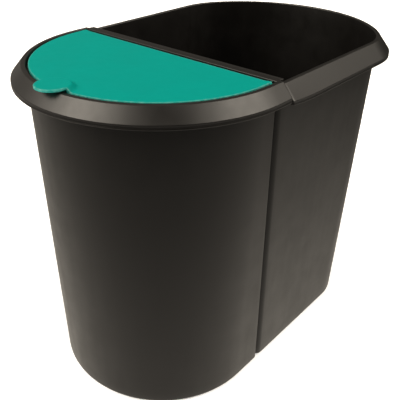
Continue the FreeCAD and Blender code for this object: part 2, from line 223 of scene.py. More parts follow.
def line(start, end, count, last=False):
    """Evenly spaced values from start to end, along a new last axis; the end is left out unless last."""
    t = np.linspace(0, 1, count, endpoint=last)
    start, end = np.asarray(start, float)[..., None], np.asarray(end, float)[..., None]
    return start + (end - start) * t


def d_outline(s, tub, grow, flat, corner):
    """Closed D outlines, counter-clockwise, one row for each grow.

    The small tub's is a half circle of radius half_width + grow, two straight sides and the flat side at
    x = flat with corners of radius corner. The large tub's round side is two shoulder arcs and one wide end
    arc, all tangent, each of its radius + grow.
    """
    way = 1 if tub == "small" else -1
    half = s.half_width + grow
    near = flat - way * corner
    none = np.zeros_like(grow)

    def arc(cx, cy, radius, first, last, count):
        angle = line(first, last, count)
        cx, cy, radius = cx[..., None], cy[..., None], radius[..., None]
        return cx + radius * np.cos(angle), cy + radius * np.sin(angle)

    def side(x0, y0, x1, y1, count):
        return line(x0 + none, x1 + none, count), line(y0 + none, y1 + none, count)

    if tub == "small":
        far = s.small_centre
        round_end = [arc(far + none, none, half, math.pi / 2, 1.5 * math.pi, 120)]
        straight = 6
    else:
        far = s.shoulder_x
        turn = math.atan2(s.shoulder_y, s.shoulder_x - s.end_x)
        shoulder = s.shoulder_radius + grow
        round_end = [
            arc(far + none, none - s.shoulder_y, shoulder, -math.pi / 2, -turn, 18),
            arc(s.end_x + none, none, s.end_radius + grow, -turn, turn, 72),
            arc(far + none, none + s.shoulder_y, shoulder, turn, math.pi / 2, 18),
        ]
        straight = 28
    start = 0 if way > 0 else math.pi
    bend = half - corner
    pieces = [
        side(near, way * half, far, way * half, straight),
        *round_end,
        side(far, -way * half, near, -way * half, straight),
        arc(near, -way * bend, corner, start - math.pi / 2, start, 8),
        side(flat, -way * bend, flat, way * bend, 40),
        arc(near, way * bend, corner, start, start + math.pi / 2, 8),
    ]
    return np.concatenate([p[0] for p in pieces], 1), np.concatenate([p[1] for p in pieces], 1)


def round_side(s, tub, start):
    """The round side's path from the -Y seam to the +Y seam: points and outward normals.

    An outline further out by g is points + g normals.
    """
    w = s.half_width
    if tub == "small":
        arcs = [(s.small_centre, 0.0, w, -math.pi / 2, -1.5 * math.pi, 150)]
        far, count = s.small_centre, 10
    else:
        turn = math.atan2(s.shoulder_y, s.shoulder_x - s.end_x)
        arcs = [
            (s.shoulder_x, -s.shoulder_y, s.shoulder_radius, -math.pi / 2, -turn, 24),
            (s.end_x, 0.0, s.end_radius, -turn, turn, 90),
            (s.shoulder_x, s.shoulder_y, s.shoulder_radius, turn, math.pi / 2, 24),
        ]
        far, count = s.shoulder_x, 40
    angle = np.concatenate([line(first, last, n) for *_, first, last, n in arcs])
    normal = np.stack([np.cos(angle), np.sin(angle)], 1)
    centre = np.concatenate([np.tile([[cx, cy]], (n, 1)) for cx, cy, *_, n in arcs])
    radius = np.concatenate([np.full(n, r) for _, _, r, *_, n in arcs])
    curve = centre + radius[:, None] * normal
    run_out = np.stack([line(start, far, count), np.full(count, -w)], 1)
    run_back = np.stack([line(far, start, count, last=True), np.full(count, w)], 1)
    points = np.concatenate([run_out, curve, run_back])
    normals = np.concatenate([np.tile([[0.0, -1.0]], (count, 1)), normal, np.tile([[0.0, 1.0]], (count, 1))])
    return points, normals


def shell(grid, edge=None):
    """A closed shell from a grid of points whose rows close on themselves: vertices, faces and edge weights.

    Row i, column j is joined to row i + 1 and column j + 1, the last column to the first. The first and last
    rows are each closed by a fan to their mean point.
    """
    rows, columns = grid.shape[:2]
    index = np.arange(rows * columns).reshape(rows, columns)
    right = np.roll(index, -1, 1)
    quads = np.stack([index[:-1], right[:-1], right[1:], index[1:]], -1).reshape(-1, 4)
    points = grid.reshape(-1, 3)
    weight = np.zeros(rows * columns) if edge is None else np.broadcast_to(edge, (rows, columns)).ravel()
    faces = quads.tolist()
    for row in (0, -1):
        pole = len(points)
        points = np.concatenate([points, grid[row].mean(0)[None]])
        weight = np.append(weight, 0.0)
        fan = np.stack([index[row], right[row], np.full(columns, pole)], 1)
        faces += fan.tolist()
    return points, faces, weight


def carry(points, normals, loops, edge):
    """A closed profile (out, up) carried along a path, its loop given for each point of the path."""
    out, up = loops[..., 0], loops[..., 1]
    flat = points[:, None] + out[..., None] * normals[:, None]
    return shell(np.concatenate([flat, up[..., None]], 2), edge)


def end_rows(loop, radius, steps=5):
    """How far a rounded end has moved in along its path, and its loop drawn in, for each of a few rows.

    Row k stands at angle a from 0 to 90 degrees: the loop is drawn in by radius (1 - sin a) and stands
    radius (1 - cos a) from the end.
    """
    angle = np.linspace(0, np.pi / 2, steps)
    ahead, back = np.roll(loop, -1, 0) - loop, loop - np.roll(loop, 1, 0)
    side = unit(unit(ahead + 1e-9) + unit(back + 1e-9))
    outward = np.stack([side[:, 1], -side[:, 0]], 1)
    area = (loop[:, 0] * np.roll(loop[:, 1], -1) - np.roll(loop[:, 0], -1) * loop[:, 1]).sum()
    outward = outward * np.sign(area)
    drawn = loop[None] - (radius * (1 - np.sin(angle)))[:, None, None] * outward[None]
    return radius * (1 - np.cos(angle)), drawn


def beam(corners, half_length, radius, stretch=24):
    """A bar along Y with a rounded profile (x, z, radius) and rounded ends."""
    loop, edge = rounded(corners)
    inset, drawn = end_rows(loop, radius)
    middle = line(-half_length + radius, half_length - radius, stretch)[1:]
    y = np.concatenate([-half_length + inset, middle, half_length - inset[::-1]])
    loops = np.concatenate([drawn, np.tile(loop, (len(middle), 1, 1)), drawn[::-1]])
    grid = np.stack([loops[..., 0], np.broadcast_to(y[:, None], loops.shape[:2]), loops[..., 1]], -1)
    rim = np.zeros(len(y))
    rim[: len(inset) - 1] = rim[1 - len(inset):] = 1
    return shell(grid, np.maximum(edge[None], rim[:, None]))


def build(name, shells, material, body, node, crease=35):
    """One object from closed shells: doubles merged, faces outward, smooth except at sharp edges."""
    whole = bmesh.new()
    scratch = bpy.data.meshes.new(name + "_shell")
    weights = []
    for points, faces, weight in shells:
        scratch.clear_geometry()
        scratch.from_pydata(points.tolist(), [], faces)
        layer = scratch.attributes.new("edge", "FLOAT", "POINT")
        layer.data.foreach_set("value", weight.astype(np.float32))
        part = bmesh.new()
        part.from_mesh(scratch)
        bmesh.ops.remove_doubles(part, verts=part.verts, dist=0.002 * MM)
        bmesh.ops.dissolve_degenerate(part, edges=part.edges, dist=0.001 * MM)
        bmesh.ops.recalc_face_normals(part, faces=part.faces)
        part.to_mesh(scratch)
        part.free()
        whole.from_mesh(scratch)
    mesh = bpy.data.meshes.new(name)
    whole.to_mesh(mesh)
    whole.free()
    bpy.data.meshes.remove(scratch)
    mesh.polygons.foreach_set("use_smooth", np.ones(len(mesh.polygons), bool))
    mesh.set_sharp_from_angle(angle=math.radians(crease))
    mesh.materials.append(material)
    piece = bpy.data.objects.new(name, mesh)
    bpy.context.scene.collection.objects.link(piece)
    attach(piece, body)
    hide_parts(node)
    return piece


def cup(s, tub, top, corner_out, corner_in):
    """A drafted tub as one closed surface, from the middle of its underside over the rim to its floor.

    A row at height z, drawn in by d from the outside, is the D outline with grow = -draft (1 - z / rim) - d
    and its flat side at flat + lean (1 - z / rim), moved in by d. Quarter circles join walls and floor.
    """
    sign = -1 if tub == "small" else 1
    flat = s.small_flat if tub == "small" else s.large_flat
    quarter = np.linspace(0, np.pi / 2, 9)
    foot, ring, bend, thick = s.foot_height, s.foot_width, s.base_round, s.wall
    soft, lip = 0.5 * MM, 0.9 * MM
    under = [
        (ring + soft, foot), (ring, foot - soft), (ring, soft), (ring - soft, 0.0), (bend + 0.3 * MM, 0.0),
    ]
    outer_bend = np.stack([bend * (1 - np.sin(quarter)), bend * (1 - np.cos(quarter))], 1)
    heights = np.linspace(bend, top - 1.2 * MM, 34)[1:]
    outer = np.stack([np.zeros(33), heights], 1)
    rim = [(0.5 * MM, top - 0.6 * MM), (0.9 * MM, top - 0.02 * MM), (thick - lip, top)]
    edge = np.stack([thick - lip + lip * np.sin(quarter), top - lip + lip * np.cos(quarter)], 1)
    inner_bend = bend - thick
    base = s.floor_level
    inner = np.stack([np.full(33, thick), np.linspace(top - lip, base + inner_bend, 34)[1:]], 1)
    drop = quarter[::-1]
    floor_bend = np.stack([1 - np.sin(drop), 1 - np.cos(drop)], 1) * inner_bend + (thick, base)
    rows = np.concatenate([under, outer_bend, outer, rim, edge, inner, floor_bend])
    to_rim = len(under) + len(outer_bend) + len(outer)
    inward, z = rows[:, 0], rows[:, 1]
    lean = 1 - z / s.rim_height
    inside = np.arange(len(rows)) >= to_rim + len(rim)
    corner = np.where(inside, corner_in, corner_out)
    flat_x = flat + s.flat_lean * lean + sign * inward
    x, y = d_outline(s, tub, -s.draft_inset * lean - inward, flat_x, corner)
    grid = np.stack([x, y, np.broadcast_to(z[:, None], x.shape)], -1)
    shrink = np.array([0.02, 0.25, 0.5, 0.75, 0.93])[:, None, None]
    first, last = grid[0], grid[-1]
    below, floor = first.mean(0), last.mean(0)
    grid = np.concatenate([below + shrink * (first - below), grid, floor + shrink[::-1] * (last - floor)])
    wear_and_highlight = np.zeros(len(grid))
    before = len(shrink)
    wear_and_highlight[before + to_rim: before + to_rim + len(rim) + len(edge)] = 1
    wear_and_highlight[before + 1: before + len(under) + 7] = 0.6  # foot ring and the start of the bend
    return shell(grid, wear_and_highlight[:, None])


def collar(s, tub, corners, filled, start, end_round, end_wall, shallow=1.0):
    """A collar: its rounded profile carried round the tub, closed at the seam by an end wall.

    corners are the hollow profile's, and filled are the same corners with the underside brought down level
    with the lip, which is the profile of the end walls. Depths below the top are times shallow at the seam
    and grow to full over the first 45 mm, as 1 - (1 - shallow) (1 - t)^2.
    """
    hollow, edge = rounded(corners)
    solid, _ = rounded(filled)
    inset, drawn = end_rows(solid, end_round)
    points, normals = round_side(s, tub, start)
    way = 1 if tub == "large" else -1
    keep = way * (points[:, 0] - start) > end_wall + 1.0 * MM
    middle, middle_normals = points[keep], normals[keep]
    walls = np.concatenate([inset, [end_wall]])
    ends = np.concatenate([drawn, solid[None]])
    after = np.array([end_wall + 0.01 * MM])
    offsets = np.concatenate([walls, after])
    loops = np.concatenate([ends, hollow[None]])
    near = np.stack([start + way * offsets, np.full(len(offsets), -s.half_width)], 1)
    far = np.stack([start + way * offsets[::-1], np.full(len(offsets), s.half_width)], 1)
    down, upward = np.tile([[0.0, -1.0]], (len(offsets), 1)), np.tile([[0.0, 1.0]], (len(offsets), 1))
    path = np.concatenate([near, middle, far])
    path_normals = np.concatenate([down, middle_normals, upward])
    all_loops = np.concatenate([loops, np.tile(hollow, (len(middle), 1, 1)), loops[::-1]])
    top = hollow[:, 1].max()
    t = np.clip(way * (path[:, 0] - start) / (45 * MM), 0, 1)
    depth = 1 - (1 - shallow) * (1 - t) ** 2
    all_loops[..., 1] = top - (top - all_loops[..., 1]) * depth[:, None]
    wear_and_highlight = np.zeros(len(path))
    wear_and_highlight[: len(inset) - 1] = wear_and_highlight[1 - len(inset):] = 1
    return carry(path, path_normals, all_loops, np.maximum(edge[None], wear_and_highlight[:, None]))


# Plastics


class Value:
    """A socket of a node tree. Arithmetic on it adds Math nodes."""

    def __init__(self, tree, socket):
        self.tree, self.socket = tree, socket

    def node(self, kind, settings=None, values=None, output=0):
        """A new node: its settings are set first, then its sockets' values or links."""
        return add_node(self.tree, kind, settings, values, output)

    def maths(self, operation, *values):
        """A Math node on these values, in order."""
        return self.node("ShaderNodeMath", {"operation": operation}, dict(enumerate(values)))

    def __add__(self, other):
        return self.maths("ADD", self, other)

    def __sub__(self, other):
        return self.maths("SUBTRACT", self, other)

    def __rsub__(self, other):
        return self.maths("SUBTRACT", other, self)

    def __mul__(self, other):
        return self.maths("MULTIPLY", self, other)

    def __truediv__(self, other):
        return self.maths("DIVIDE", self, other)

    def __pow__(self, other):
        return self.maths("POWER", self, other)

    __radd__ = __add__
    __rmul__ = __mul__


def add_node(tree, kind, settings=None, values=None, output=0):
    """A node of this kind in the tree, as the Value of one of its outputs."""
    node = tree.nodes.new(kind)
    for key, setting in (settings or {}).items():
        setattr(node, key, setting)
    for key, value in (values or {}).items():
        if isinstance(value, Value):
            tree.links.new(value.socket, node.inputs[key])
        else:
            node.inputs[key].default_value = value
    return Value(tree, node.outputs[output] if node.outputs else None)


def clean_tree(tree):
    """The tree, emptied."""
    tree.nodes.clear()
    return tree


def noise(tree, where, spacing, detail=2.0, rough=0.5):
    """Noise whose features are about this far apart, in metres."""
    return add_node(
        tree, "ShaderNodeTexNoise", {"noise_dimensions": "3D"},
        {"Vector": where, "Scale": 1.0 / spacing, "Detail": detail, "Roughness": rough},
    )


def spread(value, low, high, to_low, to_high):
    """The value carried from one range to another, held at both ends."""
    return value.node(
        "ShaderNodeMapRange", {"clamp": True},
        {"Value": value, "From Min": low, "From Max": high, "To Min": to_low, "To Max": to_high},
    )


def blend(tree, factor, first, second):
    """Two colours mixed by a factor."""
    return add_node(
        tree, "ShaderNodeMix", {"data_type": "RGBA", "blend_type": "MIX"},
        {"Factor": factor, 6: first, 7: second}, 2,
    )


def opaque(rgb, lift=1.0):
    """A linear colour with alpha, brightened or darkened."""
    return (*[min(1.0, c * lift) for c in rgb], 1.0)


def plastic(name, rgb, roughness, swing, grain_depth, specular, wear_and_highlight_lift, mottle=0.1):
    """Moulded polypropylene: eroded grain, faint flow marks, patchy sheen, and rounded edges made lighter,
    partly for wear from handling and partly as a painted highlight.

    mottle is the share by which the colour varies over patches, and the lift is how much lighter the rounded
    edges are, for wear and painted highlight.
    """
    material = bpy.data.materials.new(name)
    material.use_nodes = True
    tree = clean_tree(material.node_tree)
    where = add_node(tree, "ShaderNodeTexCoord", output=3)
    edge = add_node(tree, "ShaderNodeAttribute", {"attribute_name": "edge"}, output=2)
    grain = noise(tree, where, 0.45 * MM, 2.0, 0.6)
    fine = noise(tree, where, 0.16 * MM, 1.0)
    patches = noise(tree, where, 22 * MM, 3.0, 0.55)
    tall = add_node(
        tree, "ShaderNodeMapping", {"vector_type": "POINT"}, {"Vector": where, "Scale": (1.0, 1.0, 0.06)},
    )
    flow = noise(tree, tall, 9 * MM, 3.0, 0.5)
    scuff_and_highlight_patches = noise(tree, where, 3.5 * MM, 4.0, 0.65)
    # painted highlight with some wear: rounded edges, in noisy patches, are marked to be lightened
    wear_and_highlight = edge * spread(scuff_and_highlight_patches, 0.42, 0.62, 0.25, 1.0)
    tone = blend(tree, spread(patches, 0.3, 0.7, 0.0, 1.0), opaque(rgb, 1 - mottle), opaque(rgb, 1 + mottle))
    tone = blend(tree, spread(flow, 0.35, 0.7, 0.0, 0.35), tone, opaque(rgb, 1 - 1.8 * mottle))
    # painted highlight: the marked edges' colour is lifted, partly for wear, partly for the light the edges
    # catch
    tone = blend(tree, wear_and_highlight * 0.6, tone, opaque([c + wear_and_highlight_lift for c in rgb]))
    rough = spread(patches, 0.3, 0.7, roughness - swing, roughness + swing)
    rough = rough + spread(grain, 0.3, 0.7, -0.02, 0.02) + spread(flow, 0.3, 0.7, -0.015, 0.015) - wear_and_highlight * 0.08
    relief = grain * 0.7 + fine * 0.3
    normal = add_node(
        tree, "ShaderNodeBump", None, {"Strength": 0.6, "Distance": grain_depth, "Height": relief},
    )
    shader = add_node(tree, "ShaderNodeBsdfPrincipled", None, {
        "Base Color": tone, "Roughness": rough, "Normal": normal, "Specular IOR Level": specular, "IOR": 1.49,
    })
    add_node(tree, "ShaderNodeOutputMaterial", None, {"Surface": shader})
    material.diffuse_color = opaque(rgb)
    return material


def tub_plastic():
    """The tubs' black plastic, made once."""
    found = bpy.data.materials.get("black_tub_plastic")
    rgb = bpy.context.scene.bin_finish.tub
    # the small lift lightens the tubs' rounded edges: some wear and a painted highlight
    return found or plastic("black_tub_plastic", list(rgb), 0.38, 0.03, 0.03 * MM, 0.5, 0.006)


# Pieces


class BIN_OT_large_tub(bpy.types.Operator):
    """Open tub: drafted walls, floor, collar and the straight rim that the small tub hooks over"""

    bl_idname = "bin.large_tub"
    bl_label = "Large tub"

    def execute(self, context):
        s = sizes()
        top, reach, skin = s.rim_height, s.collar_reach, s.collar_skin
        run = reach - s.large_land
        steep = s.large_drop / run
        under = skin * math.sqrt(1 + steep**2)
        lip = top - s.large_drop - s.collar_lip
        bead = 0.2 * MM
        start = -(s.wall - 1.0 * MM)
        outside = [
            (s.large_land, top, 1.4 * MM),
            (reach, top - s.large_drop, 0.9 * MM),
            (reach - bead, top - s.large_drop - 1.6 * MM, 0.8 * MM),
            (reach - bead, lip + 1.5 * MM, 0.5 * MM),
            (reach, lip + 0.9 * MM, 0.4 * MM),
            (reach, lip, 0.5 * MM),
        ]
        inside = [
            (reach - skin, lip, 0.5 * MM),
            (reach - skin, top - (run - skin) * steep - under, 1.0 * MM),
            (0.0, top + s.large_land * steep - under, 0.5 * MM),
            (start, top + s.large_land * steep - under, 0.1 * MM),
        ]
        level = [
            (reach - skin, lip, 0.5 * MM),
            (reach * 0.5, lip, 0.1 * MM),
            (0.0, lip, 0.1 * MM),
            (start, lip, 0.1 * MM),
        ]
        first = [(start, top - 0.01 * MM, 0.01 * MM)]
        shells = [
            cup(s, "large", top, s.large_corner, s.large_corner - s.wall),
            collar(
                s, "large", first + outside + inside, first + outside + level, s.large_seam + 0.8 * MM,
                end_round=2.0 * MM, end_wall=4.2 * MM, shallow=0.85,
            ),
            beam([
                (s.large_flat + s.wall / 2, top - 0.03 * MM, 0.1 * MM),
                (s.rim_inside, top - 0.03 * MM, 0.9 * MM),
                (s.rim_inside, top - s.rim_edge, 0.6 * MM),
                (s.rim_inside - skin, top - s.rim_edge, 0.6 * MM),
                (s.rim_inside - skin, top - skin, 0.4 * MM),
                (s.large_flat + s.wall / 2, top - skin, 0.1 * MM),
            ], s.half_width - s.wall + 0.4 * MM, 0.3 * MM),
        ]
        build("large_tub_moulding", shells, tub_plastic(), "large_tub", "large_tub")
        return {"FINISHED"}


class BIN_OT_small_tub(bpy.types.Operator):
    """Lidded tub: drafted walls, floor, collar with the lid's ledge, and the divider bar with its hook"""

    bl_idname = "bin.small_tub"
    bl_label = "Small tub"

    def execute(self, context):
        s = sizes()
        top, reach, skin = s.small_height, s.collar_reach, s.collar_skin
        land, recess, back = s.land_edge, -s.recess_inset, s.recess_back
        run = reach - land
        steep = s.small_drop / run
        under = skin * math.sqrt(1 + steep**2)
        lip = top - s.small_drop - s.collar_lip
        bead = 0.2 * MM
        bar_low = top - s.bar_skin
        # a little low, so that the lid's corners, which are squarer here than on its solid, clear it
        ledge = s.ledge_level - 0.45 * MM
        slope = [
            (land, top, 1.0 * MM),
            (reach, top - s.small_drop, 0.9 * MM),
            (reach - bead, top - s.small_drop - 1.6 * MM, 0.8 * MM),
            (reach - bead, lip + 1.5 * MM, 0.5 * MM),
            (reach, lip + 0.9 * MM, 0.4 * MM),
            (reach, lip, 0.5 * MM),
        ]
        hollow = [(s.ledge_edge, ledge, 0.4 * MM), (recess, ledge, 0.4 * MM), (recess, top, 0.6 * MM), *slope,
                  (reach - skin, lip, 0.5 * MM),
                  (reach - skin, top - (run - skin) * steep - under, 1.0 * MM),
                  (land - (under - skin) / steep, top - skin, 0.4 * MM),
                  (back, top - skin, 0.3 * MM),
                  (back, ledge - skin, 0.4 * MM),
                  (s.ledge_edge, ledge - skin, 0.4 * MM)]
        middle = (recess + back) / 2
        filled = [(middle, bar_low, 0.1 * MM), (recess, bar_low, 0.1 * MM), (recess, top, 0.6 * MM), *slope,
                  (reach - skin, lip, 0.5 * MM),
                  (reach * 0.7, lip, 0.1 * MM),
                  (reach * 0.4, lip, 0.1 * MM),
                  (back, lip, 0.1 * MM),
                  (back, (lip + bar_low) / 2, 0.1 * MM),
                  (back, bar_low, 0.1 * MM)]
        shells = [
            cup(s, "small", ledge - 0.6 * MM, s.small_corner, s.small_corner),
            collar(s, "small", hollow, filled, s.seam, end_round=1.3 * MM, end_wall=s.seam - s.web_outside),
            beam([
                (s.recess_flat, bar_low, 0.3 * MM),
                (s.recess_flat, top, 0.6 * MM),
                (s.bar_far - 3.2 * MM, top, 0.4 * MM),
                (s.bar_far - 2.6 * MM, top - 0.45 * MM, 0.3 * MM),
                (s.bar_far - 2.0 * MM, top - 0.05 * MM, 0.3 * MM),
                (s.bar_far, top - 0.05 * MM, 1.0 * MM),
                (s.bar_far, bar_low, 0.3 * MM),
            ], s.half_width - s.bar_end_gap, 0.5 * MM),
            beam([
                (s.hook_inside, top - 1.2 * MM, 0.1 * MM),
                (s.bar_far, top - 1.2 * MM, 0.1 * MM),
                (s.bar_far, top - s.hook_depth, 0.8 * MM),
                (s.hook_inside, top - s.hook_depth, 0.8 * MM),
            ], s.half_width - s.hook_end_gap, 0.8 * MM),
            beam([
                (s.recess_flat + 0.02 * MM, ledge - skin, 0.2 * MM),
                (s.recess_flat + 0.02 * MM, top - 0.02 * MM, 0.6 * MM),
                (s.seam, top - 0.02 * MM, 0.4 * MM),
                (s.seam, bar_low, 0.2 * MM),
                (s.web_outside, bar_low, 0.2 * MM),
                (s.web_outside, ledge - skin, 0.4 * MM),
            ], s.half_width + middle, 0.2 * MM),
            beam([
                (s.small_flat - s.wall / 2, ledge - 0.02 * MM, 0.1 * MM),
                (s.web_outside - 0.5 * MM, ledge - 0.02 * MM, 0.1 * MM),
                (s.web_outside - 0.5 * MM, ledge - skin, 0.2 * MM),
                (s.small_flat - s.wall / 2, ledge - skin, 0.2 * MM),
            ], s.half_width - s.wall / 2, 0.2 * MM),
        ]
        build("small_tub_moulding", shells, tub_plastic(), "small_tub", "small_tub")
        return {"FINISHED"}


def lid_outline(s):
    """The lid's plan outline with its tab: points, outward normals, top edge radius and the share of tab.

    Tangent arcs and lines, counter-clockwise from the middle of the straight edge: the straight edge, two
    small corners, short straight sides, the round edge, and the tab's arc between two small hollow arcs that
    touch both it and the round edge.
    """
    edge_x = s.pin_x + s.barrel_radius
    radius, cx = s.lid_radius, s.small_centre
    corner, notch = 1.2 * MM, 2.2 * MM
    apart = cx - s.tab_x
    big, small = radius + notch, s.tab_radius + notch
    along = (apart**2 + big**2 - small**2) / (2 * apart)
    across = math.sqrt(big**2 - along**2)
    hollow, below = (cx - along, across), (cx - along, -across)
    at_round = math.atan2(across, -along)
    at_tab = math.atan2(across, cx - along - s.tab_x)
    counts = {"edge": 120, "corner": 10, "side": 6, "round": 110, "notch": 16, "tab": 70}

    def straight(x0, y0, x1, y1, count, nx, ny, roll, tab):
        points = np.stack([line(x0, x1, count), line(y0, y1, count)], 1)
        return points, np.tile([[nx, ny]], (count, 1)), line(roll[0], roll[1], count), np.full(count, tab)

    def arc(centre, r, first, last, count, roll, tab, inward=False):
        angle = line(first, last, count)
        normal = np.stack([np.cos(angle), np.sin(angle)], 1)
        points = np.array(centre) + r * normal
        outward = -normal if inward else normal
        return points, outward, line(roll[0], roll[1], count), line(tab[0], tab[1], count)

    soft, full, thin = 0.7 * MM, s.barrel_radius * 0.98, 0.8 * MM
    y0 = radius - corner
    pi = math.pi
    pieces = [
        straight(edge_x, -y0, edge_x, y0, counts["edge"], 1.0, 0.0, (full, full), 0.0),
        arc((edge_x - corner, y0), corner, 0, pi / 2, counts["corner"], (soft, soft), (0, 0)),
        straight(edge_x - corner, radius, cx, radius, counts["side"], 0.0, 1.0, (soft, soft), 0.0),
        arc((cx, 0), radius, pi / 2, at_round, counts["round"], (soft, soft), (0, 0)),
        arc(hollow, notch, at_round - pi, at_tab - pi, counts["notch"], (soft, thin), (0, 1), True),
        arc((s.tab_x, 0), s.tab_radius, at_tab, 2 * pi - at_tab, counts["tab"], (thin, thin), (1, 1)),
        arc(below, notch, pi - at_tab, pi - at_round, counts["notch"], (thin, soft), (1, 0), True),
        arc((cx, 0), radius, 2 * pi - at_round, 1.5 * pi, counts["round"], (soft, soft), (0, 0)),
        straight(cx, -radius, edge_x - corner, -radius, counts["side"], 0.0, -1.0, (soft, soft), 0.0),
        arc((edge_x - corner, -y0), corner, -pi / 2, 0, counts["corner"], (soft, soft), (0, 0)),
    ]
    points, normals, rolls, tabs = (np.concatenate([p[k] for p in pieces]) for k in range(4))
    room = np.clip((y0 - np.abs(points[:, 1])) / (7 * MM), 0, 1)
    on_edge = points[:, 0] > edge_x - 0.01 * MM
    rolls[on_edge] = (soft + (full - soft) * room * room * (3 - 2 * room))[on_edge]
    return points, normals, rolls, tabs


def tab_rise(s, x, y):
    """How far the lid's top is lifted towards the tab.

    The full rise inside a circle about the tab's middle, falling to nothing over a soft ramp as
    3 t^2 - 2 t^3, where t runs from 1 at the circle to 0 at the ramp's foot.
    """
    full = s.tab_under + s.lid_skin - s.lid_top
    circle, ramp = s.tab_radius - 0.6 * MM, 5.0 * MM
    t = np.clip(1 - (np.hypot(x - s.tab_x, y) - circle) / ramp, 0, 1)
    return full * t * t * (3 - 2 * t)


class BIN_OT_lid(bpy.types.Operator):
    """Lid: shallow D-shaped cap with a raised finger tab, a rounded hinge edge and two stub pins"""

    bl_idname = "bin.lid"
    bl_label = "Lid"

    def execute(self, context):
        s = sizes()
        points, normals, roll, tab = lid_outline(s)
        skin = s.lid_skin
        heart = np.array([s.small_centre - 30 * MM, 0.0])
        plain = points.copy()
        reach = np.hypot(points[:, 0] - s.small_centre, points[:, 1])
        on_tab = tab > 0
        pull = (s.lid_radius / np.maximum(reach, 1e-6))[:, None]
        centre = np.array([s.small_centre, 0.0])
        plain[on_tab] = (centre + (points - centre) * pull)[on_tab]
        plain_normal = normals.copy()
        plain_normal[on_tab] = unit(points - centre)[on_tab]
        low = s.lid_top - s.lid_depth
        top_edge = s.lid_top + tab_rise(s, points[:, 0], points[:, 1])
        blend_tab = np.clip((tab - 0.15) / 0.5, 0, 1)
        blend_tab = blend_tab * blend_tab * (3 - 2 * blend_tab)
        base = low + (top_edge - skin - low) * blend_tab

        def ring(place, height):
            return np.concatenate([place, height[:, None]], 1)

        rows, wear_and_highlight = [], []
        # middle of the underside, out over the skirt's foot
        under = s.lid_top - skin
        inner = plain - plain_normal * skin
        for share in (0.02, 0.3, 0.6, 0.85, 0.97):
            rows.append(ring(heart + (inner - heart) * share, np.full(len(points), under)))
            wear_and_highlight.append(0.0)
        foot = 0.4 * MM
        rows.append(ring(inner, np.full(len(points), under)))
        rows.append(ring(inner, np.full(len(points), low + foot)))
        rows.append(ring(inner + plain_normal * foot, np.full(len(points), low)))
        rows.append(ring(plain - plain_normal * foot, np.full(len(points), low)))
        rows.append(ring(plain, np.full(len(points), low + foot)))
        wear_and_highlight += [0.0, 0.5, 0.5, 0.5, 0.5]
        rows.append(ring(plain, base + foot))
        wear_and_highlight.append(0.0)
        rows.append(ring(points - normals * foot * blend_tab[:, None], base + foot * (1 - blend_tab)))
        rows.append(ring(points, base + foot))
        wear_and_highlight += [0.5, 0.5]
        # up the side and over the rounded top edge
        angle = np.linspace(0, np.pi / 2, 8)
        for a in angle:
            inset = roll * (1 - math.cos(a))
            place = points - normals * inset[:, None]
            height = s.lid_top + tab_rise(s, place[:, 0], place[:, 1]) - roll * (1 - math.sin(a))
            rows.append(ring(place, height))
            wear_and_highlight.append(1.0)
        last = points - normals * roll[:, None]
        shares = np.concatenate([[0.9975], np.linspace(0.995, 0.5, 56), np.linspace(0.45, 0.02, 12)])
        for share in shares:
            place = heart + (last - heart) * share
            height = s.lid_top + tab_rise(s, place[:, 0], place[:, 1])
            rows.append(ring(place, height))
            wear_and_highlight.append(0.0)
        cap = shell(np.array(rows), np.array(wear_and_highlight)[:, None])
        barrel = self.turned(s, s.barrel_radius * 0.985, s.lid_radius - 0.3 * MM, 0.4 * MM)
        pins = self.turned(s, s.pin_radius, s.pin_end, 0.5 * MM)
        rgb = bpy.context.scene.bin_finish.lid
        # the lift of 0.14 lightens the lid's rounded edges: mostly a painted highlight, with some wear
        green = plastic("green_lid_plastic", list(rgb), 0.5, 0.03, 0.02 * MM, 0.04, 0.14, 0.025)
        build("lid_moulding", [cap, barrel, pins], green, "lid", "lid")
        return {"FINISHED"}

    @staticmethod
    def turned(s, radius, half_length, chamfer):
        """A rod along Y about the hinge axis. At its ends radius and Y follow a quarter circle."""
        around = np.linspace(0, 2 * np.pi, 40, endpoint=False)
        bend = np.linspace(0, np.pi / 2, 6)
        y_end = -half_length + chamfer * (1 - np.sin(bend))
        r_end = radius - chamfer * (1 - np.cos(bend))
        middle = line(-half_length + chamfer, half_length - chamfer, 30)[1:]
        y = np.concatenate([y_end[::-1], middle, -y_end])
        r = np.concatenate([r_end[::-1], np.full(29, radius), r_end])
        x = s.pin_x + r[:, None] * np.cos(around)
        z = s.pin_z + r[:, None] * np.sin(around)
        return shell(np.stack([x, np.broadcast_to(y[:, None], x.shape), z], -1))


# Each soft box: degrees to the picture's right of the camera, degrees up, strength, tightness
SOFT_BOXES = (
    (-68, 42, 10.4, 20.0),
    (-98, 33, 1.3, 16.0),
    (79, 44, 8.6, 20.0),
    (104, 32, 1.0, 24.0),
    (180, 60, 0.5, 8.0),
    (-140, -2, 0.3, 6.0),
)
WARM_WHITE = (1.1, 1.0, 0.86, 1.0)


